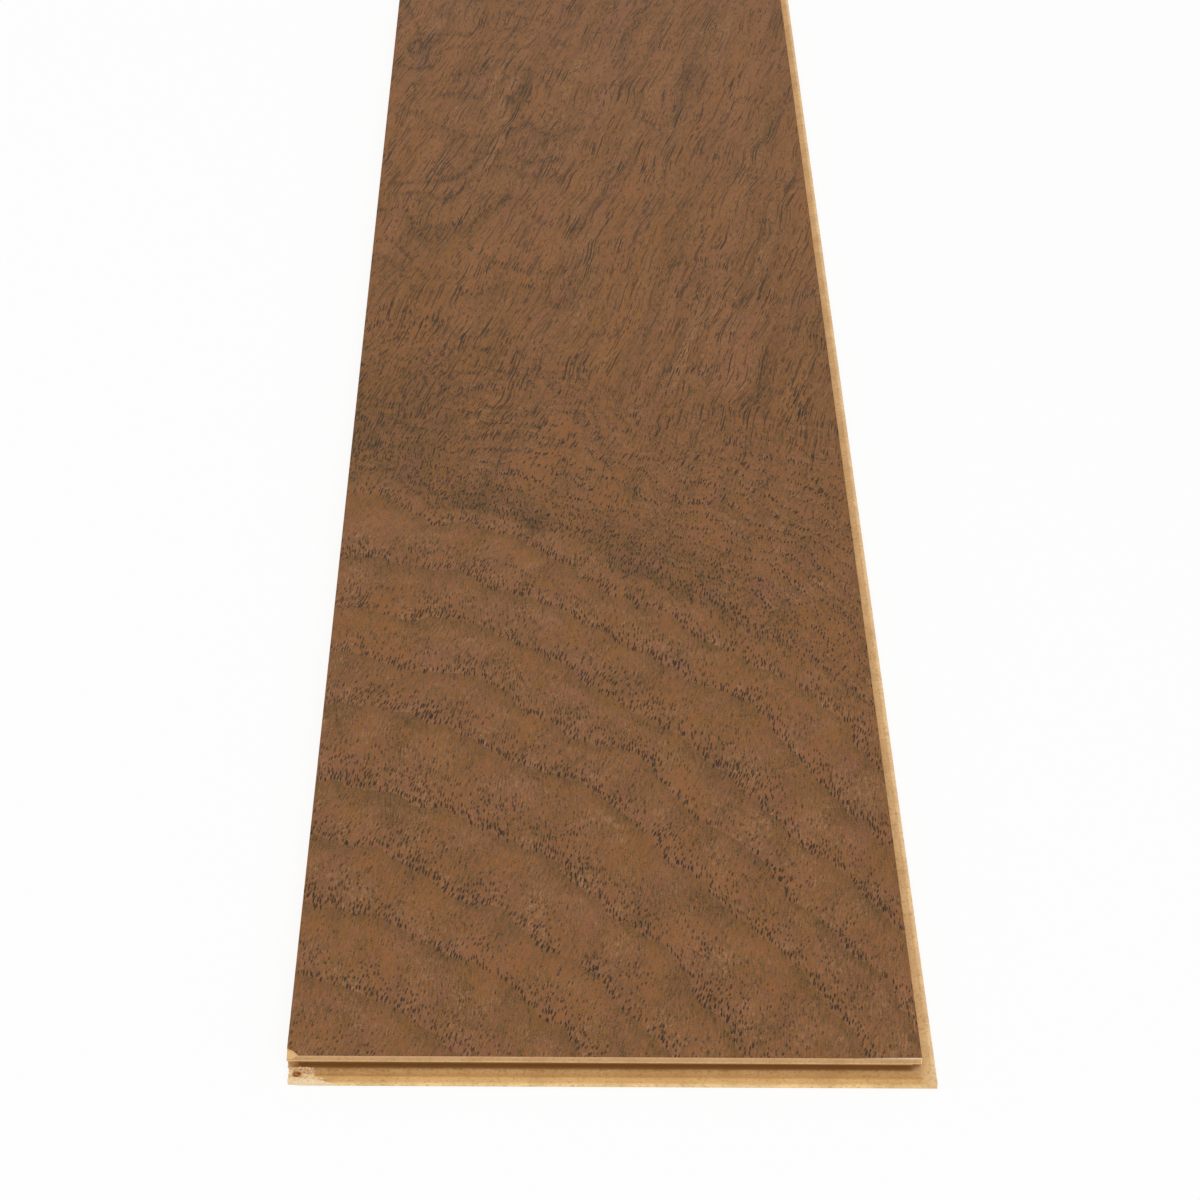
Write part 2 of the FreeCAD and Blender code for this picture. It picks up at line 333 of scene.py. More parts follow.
# Pores. Each kind has at most one in a cell, and a cell and half a pore are given by their width
# and length. Its shift keeps its cells clear of the other kinds'.
TICK_CELL, TICK_HALF_WIDTH, TICK_SHIFT = (1.05, 2.9), 0.37, 0.0
SPECK_CELL, SPECK_HALF, SPECK_SHIFT = (1.0, 1.7), (0.24, 0.65), 40.0
STROKE_CELL, STROKE_HALF, STROKE_SHIFT = (1.25, 6.0), (0.4, 3.6), 60.0
STREAK_CELL, STREAK_HALF, STREAK_SHIFT = (1.3, 32.0), (0.4, 18.0), 90.0

# How much a pore's size may vary, where its edge softens, and how dark the least ones are.
PORE_SIZES = (0.4, 1.25)
PORE_EDGE = (1.0, 0.4)
PORE_TONE_WHERE_RARE = 0.65
PORE_TONE_AT_LEAST = 0.75
PORE_RAGGED = 0.45


def pore_layer(wiring, place, fibre, ragged, cell, half, density, shift):
    """Dark pore ticks along the fibres, one at most in each cell, where density beats its draw.

    cell and half are a cell's and a half tick's width and length in millimetres, and density
    gives the share of cells that have a tick at a place across and along the board. ragged eats
    into the ticks' edges.
    """
    across, along = place
    spot = wiring.join(wiring.math("DIVIDE", fibre, cell[0]),
                       wiring.math("MULTIPLY_ADD", along, 1 / cell[1], shift))
    cells = wiring.node("ShaderNodeTexVoronoi", voronoi_dimensions="2D")
    cells.inputs["Scale"].default_value = 1.0
    wiring.feed(cells.inputs["Vector"], spot)
    centre_x, centre_y, _ = wiring.split(cells.outputs["Position"])
    spot_x, spot_y, _ = wiring.split(spot)
    gap_x = wiring.product(wiring.math("SUBTRACT", centre_x, spot_x), cell[0])
    gap_y = wiring.product(wiring.math("SUBTRACT", centre_y, spot_y), cell[1])
    off_x = wiring.math("DIVIDE", gap_x, half[0])
    off_y = wiring.math("DIVIDE", gap_y, half[1])
    reach = wiring.math("ADD", wiring.product(off_x, off_x),
                        wiring.math("MULTIPLY_ADD", off_y, off_y, ragged))
    share = density(wiring.math("ADD", across, gap_x), wiring.math("ADD", along, gap_y))
    draw, size_draw, tone_draw = wiring.split(cells.outputs["Color"])
    shown = wiring.math("LESS_THAN", draw, share)
    limit = wiring.fade(size_draw, *PORE_SIZES)
    tick = wiring.span(wiring.math("DIVIDE", reach, limit), *PORE_EDGE)
    tone = wiring.product(wiring.span(share, 0.1, 0.9, PORE_TONE_WHERE_RARE, 1.0),
                          wiring.fade(tone_draw, PORE_TONE_AT_LEAST, 1.0))
    return wiring.product(tick, shown, tone)


# The run of the fibres: they wander, and lean to the right as they run away from the near end.
SWAY_SIZE = 60.0
SWAY_REACH = 13.0
LEAN = -0.14
FAR_LEAN = -0.1
FAR_LEAN_FROM = 300.0
FAR_LEAN_EASE = 120.0

# Zones of the figure. Each pair says where it is none and where it is all.
FINE_RINGS_BEGIN = (308.0, 316.0)
FINE_RINGS_END = (436.0, 420.0)
FAR_ZONE = (390.0, 480.0)
FAR_EDGE_SIZE = 50.0
FAR_EDGE_REACH = 120.0
FAR_EDGE_SLANT = 0.15
LEFT_ZONE = (120.0, 60.0)
BAND_BELOW = (301.0, 308.0)
BAND_ABOVE = (344.0, 308.0)
BAND_ACROSS = (170.0, 100.0)
BAND_CORNER_ACROSS = (54.0, 24.0)
BAND_CORNER_FROM = (312.0, 325.0)
BAND_CORNER_TO = (430.0, 370.0)

# How far each thing stretches the grain along the fibres: the less, the longer its marks.
GRAIN_STRETCH = 0.16
HAIR_STRETCH = 0.03
SWEEP_STRETCH = 0.07
FLECK_STRETCH = 0.4
SWATH_STRETCH = (0.6, 0.1)

# How much each thing lightens or darkens the wood, out of a range of 1.
GRAIN_LIGHTENS = 0.42
PAPER_LIGHTENS = 0.34
FLECKS_LIGHTEN = 0.3
SWEEP_DARKENS = 0.36
BELOW_LINE_DARKENS = 0.2
BAND_DARKENS = 0.36
THREADS_DARKEN = 0.28
CONTOUR_DARKENS = 0.34

# How much of a tone each thing brings, from none at 0 to nothing else at 1.
TINT_SHARE = 0.65
ROSE_ABOVE_LINE = 0.12
ORANGE_FAR = 0.12
OLIVE_IN_BAND = 0.2
GREY_SPECKLE = 0.42
BRIGHT_SPECKLE = 0.4
PORE_SHARE = 0.95

# Where the printed film ends over the decor's cut edge, and where a pale line runs along the near
# arris, towards the right: partly worn film, partly a painted highlight.
FILM_COVERS = (CORE_TOP + 0.18, CORE_TOP + 0.24)
ARRIS_WEAR_AND_HIGHLIGHT = (0.32, 0.1)
ARRIS_WEAR_AND_HIGHLIGHT_ACROSS = (BOARD_WIDTH - 20.0, BOARD_WIDTH - 3.0)


class WoodFigure(Wiring):
    """The printed wood's figure: its rings, the run of its fibres, its pores and its tones."""

    def __init__(self, tree):
        super().__init__(tree)
        self.rings = make_ring_field()
        self.across, self.along, self.height = board_place(self)
        self.flat = self.join(self.across, self.along)
        self.phase, self.rise = self.ring_at(self.across, self.along)
        self.fibre = self.fibre_run()
        self.fine = self.product(self.span(self.rise, *FINE_RINGS_BEGIN),
                                 self.span(self.rise, *FINE_RINGS_END))
        self.far = self.far_part(self.across, self.along)
        self.left = self.left_part(self.across)
        self.grain_spot = self.fibre_spot(GRAIN_STRETCH)
        self.grain = self.noise(self.grain_spot, 0.6, 2.0, 0.6)
        swath_spot = self.fibre_spot(self.fade(self.far, *SWATH_STRETCH))
        self.swath = self.split(self.noise(swath_spot, 12.0, 3.0, 0.55, colour=True))
        self.above_line = self.product(self.span(self.phase, 0.0, 0.55, 1.0, 0.0),
                                       self.fade(self.far, 1.0, 0.2))
        self.below_line = self.product(
            self.span(self.phase, 0.74, 1.0, 0.0, BELOW_LINE_DARKENS, smooth=True),
            self.largest(self.fade(self.far, 1.0, 0.1), self.left))
        self.band = self.dark_band()

    def ring_at(self, across, along):
        """How far a place lies from one ring line to the next, and how far up the rings."""
        used = self.node("ShaderNodeGroup", node_tree=self.rings)
        self.feed(used.inputs["Place"], self.join(across, along))
        return used.outputs["Phase"], used.outputs["Rise"]

    def fibre_run(self):
        """Which fibre passes a place, as the millimetres across where it would lie straight."""
        sway = self.centred(self.noise(self.flat, SWAY_SIZE, 2.0))
        lean = self.math("SMOOTH_MAX", self.math("SUBTRACT", self.along, FAR_LEAN_FROM),
                         0.0, FAR_LEAN_EASE)
        fibre = self.math("MULTIPLY_ADD", sway, SWAY_REACH, self.across)
        fibre = self.math("MULTIPLY_ADD", self.along, LEAN, fibre)
        return self.math("MULTIPLY_ADD", lean, FAR_LEAN, fibre)

    def fibre_spot(self, stretch, shift=0.0):
        """A place for a noise whose marks run with the fibres."""
        return self.join(self.fibre, self.product(self.along, stretch), shift)

    def patches(self, across, along, size, detail, shift=0.0):
        """A noise of patches, at any place on the board."""
        return self.noise(self.join(across, along, shift), size, detail)

    def far_part(self, across, along):
        """None in the zone of rings across the board, all in the zone of long streaks."""
        edge = self.math("MULTIPLY_ADD", self.patches(across, along, FAR_EDGE_SIZE, 1.0),
                         FAR_EDGE_REACH, along)
        edge = self.math("MULTIPLY_ADD", across, FAR_EDGE_SLANT, edge)
        return self.span(edge, *FAR_ZONE, smooth=True)

    def left_part(self, across):
        """All at the left, where the ring lines still show in the zone of long streaks."""
        return self.span(across, *LEFT_ZONE, smooth=True)

    def dark_band(self):
        """The dark band across the board between the wide rings and the fine ones."""
        band = self.product(self.span(self.rise, *BAND_BELOW, smooth=True),
                            self.span(self.rise, *BAND_ABOVE),
                            self.span(self.across, *BAND_ACROSS, smooth=True))
        corner = self.product(self.span(self.across, *BAND_CORNER_ACROSS, smooth=True),
                              self.span(self.along, *BAND_CORNER_FROM, smooth=True),
                              self.span(self.along, *BAND_CORNER_TO, smooth=True))
        return self.product(self.largest(band, corner),
                            self.span(self.swath[0], 0.3, 0.6, 0.6, 1.0))

    def tick_share(self, across, along):
        """Short ticks: in rows on the ring lines, scattered above them, and in the dark band."""
        phase, rise = self.ring_at(across, along)
        far = self.far_part(across, along)
        patchy = self.patches(across, along, 16.0, 1.0)
        row = self.math("MULTIPLY_ADD", self.fine, 0.2, 0.08)
        on_line = self.product(
            self.span(self.math("SUBTRACT", phase, row), 0.0, 0.02, 1.0, 0.0),
            self.span(patchy, 0.28, 0.42, 0.45, 1.0),
            self.largest(self.fade(far, 1.0, 0.0),
                         self.product(self.left_part(across), 0.6)))
        scatter = self.product(self.span(phase, 0.06, 0.7, 0.8, 0.05),
                               self.span(patchy, 0.35, 0.65, 0.45, 1.25),
                               self.fade(self.fine, 1.0, 0.35), self.fade(far, 1.0, 0.15))
        in_band = self.product(self.span(rise, 302.0, 306.0),
                               self.span(rise, 345.0, 312.0, 0.1, 0.6),
                               self.span(across, 193.0, 120.0, 0.6, 1.0))
        return self.largest(on_line, scatter, in_band)

    def speck_share(self, across, along):
        """Small specks in patches all over."""
        return self.span(self.patches(across, along, 11.0, 2.0), 0.42, 0.7, 0.05, 0.6)

    def stroke_share(self, across, along):
        """Longer strokes where the rings end, in clusters, and by the left side."""
        phase, _ = self.ring_at(across, along)
        cluster = self.product(
            self.span(self.patches(across, along, 10.0, 2.0, shift=5.0), 0.44, 0.6, 0.03, 1.0),
            self.span(phase, 0.1, 0.45, 1.0, 0.25))
        by_left = self.product(self.span(across, 50.0, 30.0),
                               self.span(along, 420.0, 390.0, 0.0, 0.45))
        start = self.math("MULTIPLY_ADD", across, 0.2, along)
        return self.product(self.largest(cluster, by_left), self.span(start, 318.0, 345.0),
                            self.span(along, 560.0, 450.0, 0.5, 1.0))

    def streak_share(self, across, along):
        """Long streaks in bunches, all over the far zone."""
        bunch = self.join(self.math("MULTIPLY_ADD", along, -0.24, across),
                          self.product(along, 0.3))
        bunch = self.span(self.noise(bunch, 9.0, 2.0, 0.6), 0.49, 0.62, 0.04, 1.0)
        phase, _ = self.ring_at(across, along)
        return self.product(bunch, self.span(phase, 0.2, 0.7, 1.0, 0.3),
                            self.far_part(across, along))

    def pores(self):
        """All pores, ticks and streaks, from none at 0 to darkest at 1."""
        ragged = self.swing(self.grain, PORE_RAGGED)

        def kind(cell, half, density, shift):
            return pore_layer(self, (self.across, self.along), self.fibre, ragged, cell, half,
                              density, shift)

        by_line = self.product(self.largest(self.span(self.phase, 0.1, 0.22, 1.0, 0.0),
                                            self.span(self.phase, 0.86, 0.92)),
                               self.fade(self.fine, 0.5, 0.1))
        half_length = self.math("ADD", by_line, self.span(self.along, 20.0, 220.0, 0.95, 1.55))
        half_length = self.math("MULTIPLY_ADD", self.fine, -0.4, half_length)
        half_length = self.math("MULTIPLY_ADD", self.far, 0.6, half_length)
        hairs = self.noise(self.fibre_spot(HAIR_STRETCH), 0.85, 1.0)
        return self.largest(
            self.product(kind(SPECK_CELL, SPECK_HALF, self.speck_share, SPECK_SHIFT), 0.8),
            self.product(self.span(hairs, 0.58, 0.7, 0.0, 0.6), self.far),
            kind(TICK_CELL, (TICK_HALF_WIDTH, half_length), self.tick_share, TICK_SHIFT),
            kind(STROKE_CELL, STROKE_HALF, self.stroke_share, STROKE_SHIFT),
            kind(STREAK_CELL, STREAK_HALF, self.streak_share, STREAK_SHIFT))

    def lightness(self):
        """How light the wood is, from 0 for its dark parts to 1 for its light ones."""
        paper = self.noise(self.flat, 0.35, 1.0)
        flecks = self.noise(self.fibre_spot(FLECK_STRETCH, 3.0), 0.9, 1.0)
        flecks = self.product(self.span(flecks, 0.52, 0.7, 0.0, FLECKS_LIGHTEN),
                              self.above_line)
        sweep = self.noise(self.fibre_spot(SWEEP_STRETCH, 9.0), 4.5, 2.0)
        sweep = self.product(self.span(sweep, 0.48, 0.7, 0.0, SWEEP_DARKENS), self.far)
        threads = self.math("FRACT", self.product(self.phase, 3.0))
        threads = self.product(self.span(threads, 0.0, 0.6, THREADS_DARKEN, 0.0), self.fine)
        contour = self.product(self.span(self.phase, 0.0, 0.22, CONTOUR_DARKENS, 0.0),
                               self.left, self.far)
        value = self.span(self.swath[0], 0.3, 0.7, 0.72, 0.3)
        for lighter in (self.swing(self.grain, GRAIN_LIGHTENS),
                        self.swing(paper, PAPER_LIGHTENS), flecks):
            value = self.math("ADD", value, lighter)
        for darker in (self.below_line, self.product(self.band, BAND_DARKENS), threads,
                       contour, sweep):
            value = self.math("SUBTRACT", value, darker)
        return value

    def colour(self):
        """The printed colour on top, the cut paper below the film, and a pale line along the near
        arris that is partly wear and partly a painted highlight.
        """
        value = self.lightness()
        colour = self.blend(self.span(value, 0.0, 0.5), WOOD_DARK, WOOD_MID)
        colour = self.blend(self.span(value, 0.5, 1.0), colour, WOOD_LIGHT)
        tint = self.split(self.noise(self.grain_spot, 0.85, 3.0, 0.7, colour=True))
        for amount, broad, tone in zip(tint, (self.swath[1], self.swath[2], self.swath[1]),
                                       (WOOD_OLIVE, WOOD_ROSE, WOOD_ORANGE)):
            amount = self.math("ADD", amount, self.product(broad, 0.6))
            colour = self.blend(self.span(amount, 0.72, 0.96, 0.0, TINT_SHARE), colour, tone)
        salt = self.split(self.noise(self.flat, 0.55, 1.0, colour=True))
        olive = self.largest(self.product(self.band, OLIVE_IN_BAND), self.below_line)
        for amount, tone in (
                (self.product(self.above_line, ROSE_ABOVE_LINE), WOOD_ROSE),
                (self.product(self.far, ORANGE_FAR), WOOD_ORANGE),
                (olive, WOOD_OLIVE),
                (self.span(salt[1], 0.5, 0.68, 0.0, GREY_SPECKLE), WOOD_GREY),
                (self.span(salt[2], 0.52, 0.7, 0.0, BRIGHT_SPECKLE), WOOD_BRIGHT),
                (self.product(self.pores(), PORE_SHARE), PORE)):
            colour = self.blend(amount, colour, tone)
        colour = self.blend(self.span(self.height, *FILM_COVERS), DECOR_CUT_EDGE, colour)
        # A pale line along the near arris: partly worn film, partly a painted highlight.
        worn_and_highlit = self.product(self.span(self.along, *ARRIS_WEAR_AND_HIGHLIGHT),
                            self.span(self.across, *ARRIS_WEAR_AND_HIGHLIGHT_ACROSS),
                            self.span(tint[0], 0.3, 0.5, 0.5, 1.0))
        return self.blend(worn_and_highlit, colour, ARRIS_HIGHLIGHT_PALE)


def printed_decor():
    """The walked face: printed mesquite-like wood under a satin wear layer, with a fine bump from
    the grain.
    """
    material, wiring, shader = new_material("wood_decor")
    figure = WoodFigure(material.node_tree)
    wiring.feed(shader.inputs["Base Color"], figure.colour())
    wiring.feed(shader.inputs["Roughness"], wiring.span(figure.grain, 0.3, 0.7, 0.46, 0.56))
    shader.inputs["Specular IOR Level"].default_value = 0.07
    wiring.feed(shader.inputs["Normal"], wiring.bump(figure.grain, 0.02 * MM, 0.6))
    return material


# Soft edges of the colours on the pressed fibre, each given as where the colour is none and
# where it is all. Out and in are measured from the joint faces, away from the board or into it.
# Four numbers are a range and what it is turned into.
TROUGH_OUT = (0.1, 0.9)
TROUGH_WANDER = 1.4
OUTER_OUT = (3.4, 4.7)
LONG_LIP_OUT = (0.0, 0.3)
LONG_LIP_GROWS = (0.3, 4.6, 0.25, 0.95)
# Painted light along the lip's lower edge, paler towards the floor.
LOWER_EDGE_OUT = (4.5, 4.65)
LOWER_EDGE_BELOW = (2.1, 0.8)
TOP_LINE_ABOVE = (CORE_TOP - 0.5, CORE_TOP)
TOP_LINE_SHARE = 0.4
# Painted light on the lead-in round under the joint face, which faces down into shade.
LEAD_IN_BELOW = (6.2, 5.7)
LEAD_IN_ABOVE = (5.2, 5.35)
LEAD_IN_WITHIN = (1.4, 0.9)
PALE_FIBRE_SHARE = 0.55
DARK_SPECK_SHARE = 0.6
DARK_CLOUD_SHARE = 0.3

# Painted shade down in the groove under the upper lip, and where it fades out at its right end.
GROOVE_IN = (-0.8, 0.7)
GROOVE_WITHIN = (4.5, 3.5)
GROOVE_BELOW = (3.6, 3.0)
GROOVE_ABOVE = (1.9, 2.3)
GROOVE_FROM_LEFT = (1.0, 4.0)
GROOVE_EDGE_RAGGED = 0.9
GROOVE_END_RAGGED = 5.0
GROOVE_SHARE = 0.92
SHADE_FADES_FROM = (-3.2, -1.4)
SHADE_FADES_WITHIN = (3.0, 1.0)
SHADE_AT_FADED_END = 0.1
# Painted light along the top of the groove's back wall.
WALL_TOP_ABOVE = (3.0, 3.3)
WALL_TOP_BELOW = (4.4, 4.1)
WALL_TOP_IN = (1.2, 1.6)
WALL_TOP_GROWS = (60.0, 190.0, 0.1, 0.9)
# Painted highlight down the near right corner.
CORNER_OUT = (-0.3, -0.12)
CORNER_WITHIN = (0.3, 0.12)
CORNER_ABOVE = (5.2, 5.6)

TORN_RAGGED = 3.0
STUB_WITHIN = (8.4, 7.4)
STUB_NEAR_OF = (0.4, 0.2)
STUB_BELOW = (3.2, 2.9)
LEFT_END_WITHIN = (1.0, 0.8)
LEFT_END_RAGGED = 2.0
LEFT_END_NEAR_OF = (4.4, 3.8)
LEFT_END_BELOW = (2.9, 2.6)
STRIP_TOP = (9.0, 15.5, 2.9, 0.4)
STRIP_EDGE = (-0.1, 0.3)
STRIP_NEAR_OF = (-3.8, -4.0)
STRIP_WITHIN = (16.0, 14.5)
CHIP_WITHIN = (4.3, 4.2)
CHIP_BACK_OF = (0.02, 0.1)
CHIP_ABOVE = (6.1, 6.4)
# Painted shade inside the pit.
PIT_BELOW = (1.9, 1.5)
PIT_EDGE = 0.1
PAPER_UP_TO = (0.01, 0.03)


class PressedCore(Wiring):
    """Where each colour lies on the core's pressed fibre, and the noises that break it up."""

    def __init__(self, tree):
        super().__init__(tree)
        self.across, self.along, self.height = board_place(self)
        spot = self.join(self.across, self.along, self.product(self.height, 1.4))
        self.fibre = self.noise(spot, 0.45, 4.0, 0.65)
        self.speck = self.noise(spot, 1.1, 3.0, 0.6)
        self.cloud = self.noise(spot, 9.0, 3.0)
        self.ragged = self.centred(self.speck)
        self.past_right = self.math("SUBTRACT", self.across, BOARD_WIDTH)
        self.outward = self.largest(self.product(self.along, -1.0), self.past_right)
        self.inward = self.product(self.outward, -1.0)

    def torn(self, place, reach):
        """A place whose edges are made ragged by so many millimetres."""
        return self.math("MULTIPLY_ADD", self.ragged, reach, place)

    def milled(self):
        """Freshly milled fibre: tan in the trough and pale along the right lip and the top of the
        joint faces, with painted light on the lead-in round under the joint face and along the
        lip's lower edge.
        """
        out = self.math("MULTIPLY_ADD", self.centred(self.cloud), TROUGH_WANDER, self.outward)
        colour = self.blend(self.span(out, *TROUGH_OUT), CORE_MILLED, CORE_TROUGH)
        for amount, tone in (
                (self.span(out, *OUTER_OUT), CORE_OUTER),
                (self.product(self.span(self.past_right, *LONG_LIP_OUT),
                              self.span(self.past_right, *LONG_LIP_GROWS)), CORE_LONG_LIP),
                # Painted light along the lip's lower edge.
                (self.product(self.span(self.outward, *LOWER_EDGE_OUT),
                              self.span(self.height, *LOWER_EDGE_BELOW)), CORE_PAINTED_EDGE_LIGHT),
                (self.span(self.height, *TOP_LINE_ABOVE, 0.0, TOP_LINE_SHARE), CORE_FIBRE_PALE),
                # Painted light on the lead-in round under the joint face.
                (self.product(self.span(self.height, *LEAD_IN_BELOW),
                              self.span(self.height, *LEAD_IN_ABOVE),
                              self.span(self.inward, *LEAD_IN_WITHIN)), CORE_PAINTED_LIGHT),
                (self.span(self.fibre, 0.45, 0.72, 0.0, PALE_FIBRE_SHARE), CORE_FIBRE_PALE),
                (self.span(self.speck, 0.5, 0.74, 0.0, DARK_SPECK_SHARE), CORE_FIBRE_DARK),
                (self.span(self.cloud, 0.4, 0.7, 0.0, DARK_CLOUD_SHARE), CORE_FIBRE_DARK)):
            colour = self.blend(amount, colour, tone)
        return colour

    def groove_painted_shade(self):
        """Painted shade down in the groove, under the upper lip, and hardly any at its right end.
        """
        shade_fades = self.product(
            self.span(self.torn(self.past_right, TORN_RAGGED), *SHADE_FADES_FROM),
            self.span(self.along, *SHADE_FADES_WITHIN))
        groove = self.product(
            self.span(self.torn(self.inward, GROOVE_EDGE_RAGGED), *GROOVE_IN, smooth=True),
            self.span(self.inward, *GROOVE_WITHIN),
            self.span(self.height, *GROOVE_BELOW),
            self.span(self.height, *GROOVE_ABOVE),
            self.span(self.torn(self.across, GROOVE_END_RAGGED), *GROOVE_FROM_LEFT),
            self.fade(shade_fades, 1.0, SHADE_AT_FADED_END))
        return self.product(groove, GROOVE_SHARE)

    def lightened_wall_top(self):
        """Painted light: a pale strip along the top of the groove's back wall, in the upper lip's
        shade, fading out to the left.
        """
        return self.product(self.span(self.height, *WALL_TOP_ABOVE),
                            self.span(self.height, *WALL_TOP_BELOW),
                            self.span(self.inward, *WALL_TOP_IN),
                            self.span(self.across, *WALL_TOP_GROWS))

    def near_right_corner_highlight(self):
        """Painted highlight down the upright corner where the near joint face meets the right one.
        """
        return self.product(self.span(self.past_right, *CORNER_OUT),
                            self.span(self.along, *CORNER_WITHIN),
                            self.span(self.height, *CORNER_ABOVE))

    def chip(self):
        """Bare fibre where the decor's near left corner has broken off."""
        return self.product(self.span(self.across, *CHIP_WITHIN),
                            self.span(self.along, *CHIP_WITHIN),
                            self.span(self.along, *CHIP_BACK_OF),
                            self.span(self.height, *CHIP_ABOVE))

    def torn_bare(self):
        """Freshly torn: the stub, the left end beside it and a strip along the lip's edge."""
        torn_across = self.torn(self.across, TORN_RAGGED)
        stub = self.product(self.span(torn_across, *STUB_WITHIN),
                            self.span(self.along, *STUB_NEAR_OF),
                            self.span(self.height, *STUB_BELOW))
        left_end = self.product(
            self.span(self.across, *LEFT_END_WITHIN),
            self.span(self.torn(self.along, LEFT_END_RAGGED), *LEFT_END_NEAR_OF),
            self.span(self.height, *LEFT_END_BELOW))
        strip_top = self.span(torn_across, *STRIP_TOP)
        strip = self.product(
            self.span(self.math("SUBTRACT", strip_top, self.height), *STRIP_EDGE),
            self.span(self.along, *STRIP_NEAR_OF), self.span(torn_across, *STRIP_WITHIN))
        return self.largest(stub, left_end, strip)

    def pit(self):
        """Inside the pit that is broken into the stub: a darker tan, painted shade."""
        left, right = PIT_ACROSS
        return self.product(self.span(self.height, *PIT_BELOW),
                            self.span(self.across, left - PIT_EDGE, left),
                            self.span(self.across, right + PIT_EDGE, right),
                            self.span(self.along, PIT_ALONG[0] - PIT_EDGE, PIT_ALONG[0]))

    def backing_paper(self):
        """The mottled paper on the underside."""
        paper = self.blend(self.span(self.speck, 0.45, 0.7, 0.0, 0.7), BACKING, BACKING_SHADE)
        return self.blend(self.span(self.fibre, 0.5, 0.7, 0.0, 0.6), paper, BACKING_PALE)

    def colour(self):
        """All the colours, each laid over the ones before it."""
        fresh = self.blend(self.span(self.fibre, 0.42, 0.66, 0.0, 0.75), TORN_CREAM, TORN_TAN)
        bare = self.blend(self.span(self.fibre, 0.45, 0.72, 0.0, 0.6),
                          CORE_CHIP, CORE_FIBRE_DARK)
        colour = self.milled()
        for amount, coat in (
                (self.groove_painted_shade(), CORE_GROOVE_SHADE), (self.lightened_wall_top(), CORE_PAINTED_LIGHT),
                (self.near_right_corner_highlight(), CORE_PAINTED_EDGE_LIGHT), (self.chip(), bare),
                (self.torn_bare(), fresh), (self.pit(), CORE_PIT_SHADE),
                (self.span(self.height, *PAPER_UP_TO, 1.0, 0.0), self.backing_paper())):
            colour = self.blend(amount, colour, coat)
        return colour


def pressed_fibre():
    """The core: pressed wood fibre, with painted shade down in the groove and painted light on its
    lead-in round and lower edge.
    """
    material, wiring, shader = new_material("fibre_core")
    core = PressedCore(material.node_tree)
    wiring.feed(shader.inputs["Base Color"], core.colour())
    shader.inputs["Roughness"].default_value = 0.85
    shader.inputs["Specular IOR Level"].default_value = 0.2
    wiring.feed(shader.inputs["Normal"], wiring.bump(core.fibre, 0.12 * MM, 0.7))
    return material


def torn_fibre():
    """Fibre torn out of the core: cream at its tips, tan further in, with painted shade on what
    lies low in the pit.
    """
    material, wiring, shader = new_material("torn_fibre")
    across, along, height = board_place(wiring)
    spot = wiring.join(across, along, height)
    fluff = wiring.noise(spot, 0.35, 4.0, 0.7)
    patch = wiring.noise(spot, 1.3, 2.0)
    colour = wiring.blend(wiring.span(fluff, 0.4, 0.62, 0.0, 0.85), TORN_CREAM, TORN_TAN)
    colour = wiring.blend(wiring.span(patch, 0.48, 0.62, 0.0, 0.8), colour, TORN_TAN)
    # Painted shade on the torn fibre that lies low, in the pit.
    colour = wiring.blend(wiring.span(height, 1.7, 1.2), colour, TORN_PAINTED_SHADE)
    wiring.feed(shader.inputs["Base Color"], colour)
    shader.inputs["Roughness"].default_value = 0.95
    shader.inputs["Specular IOR Level"].default_value = 0.1
    wiring.feed(shader.inputs["Normal"], wiring.bump(fluff, 0.1 * MM, 0.8))
    return material


# Edges of the milled profile that turn by less than this are shaded as one round.
SMOOTH_BELOW = math.radians(48)

# Points of the core's mesh that lie closer than this are joined.
WELD = 0.005

# The stub's top, and the crest of the lip: where along it is, how high it stands over the stub,
# its half width, and where across it starts and how long it takes to rise.
STUB_TOP = 2.1
CREST_ALONG = -3.5
CREST_RISE = 0.7
CREST_HALF_WIDTH = 1.1
CREST_FROM = 4.6
CREST_RUN_IN = 0.6

# Where torn fibre stands up in a ridge and in a loop, and the half width and length of the loop.
TORN_RIDGE = [(1.0, -0.1, 2.7), (3.8, 0.0, 3.0), (6.5, 0.0, 3.0), (7.9, -1.6, 2.4),
              (8.2, -3.0, 2.75), (9.4, -4.2, 2.5)]
TORN_LOOP = (5.3, -1.3)
LOOP_HALF = (0.75, 1.15)
LOOP_HOLE_HALF = (0.5, 0.8)

# How many lumps of torn fibre lie in each place, the ridge's for each of its stretches.
RIDGE_LUMPS = 22
LOOP_LUMPS = 26
PIT_FLOOR_LUMPS = 30
PIT_RIM_LUMPS = 70
STUB_LUMPS = 420
CREST_LUMPS = 130

# The rim round the pit, the stub's ragged outline and the strip of torn fibre along the crest.
PIT_RIM_HALF = (1.45, 1.5)
STUB_END = 8.4
STUB_END_SLANT = 1.5
STUB_END_WIDEST = -3.4
PIT_MARGIN = 0.12
STRIP_FROM = 8.0
STRIP_LENGTH = 5.0
STRIP_DRIFT = 0.4

# The voxels that fuse the lumps, the fluff pushed out of their skin, and how far inside the
# board's box it all stays.
FUSE_VOXEL = 0.13
FLUFF_SIZE = 0.45
FLUFF_HEIGHT = 0.1
BOX_MARGIN = 0.02

# Pulled fibres: those by the loop come first, then those all over the stub, then the crest's.
STRANDS = 150
LOOP_STRANDS = 40
STUB_STRANDS = 115
STRAND_RADIUS = 0.04
STRAND_POINTS = 6
STRAND_TAPER = 0.6
STRAND_WELD = 0.002
STRAND_PIT_MARGIN = -0.2


def at_board(across, along, height):
    """The point, in metres, that lies so many millimetres in from the two joints and up."""
    return Vector((decor_low.x + across * MM, decor_low.y + along * MM, height * MM))


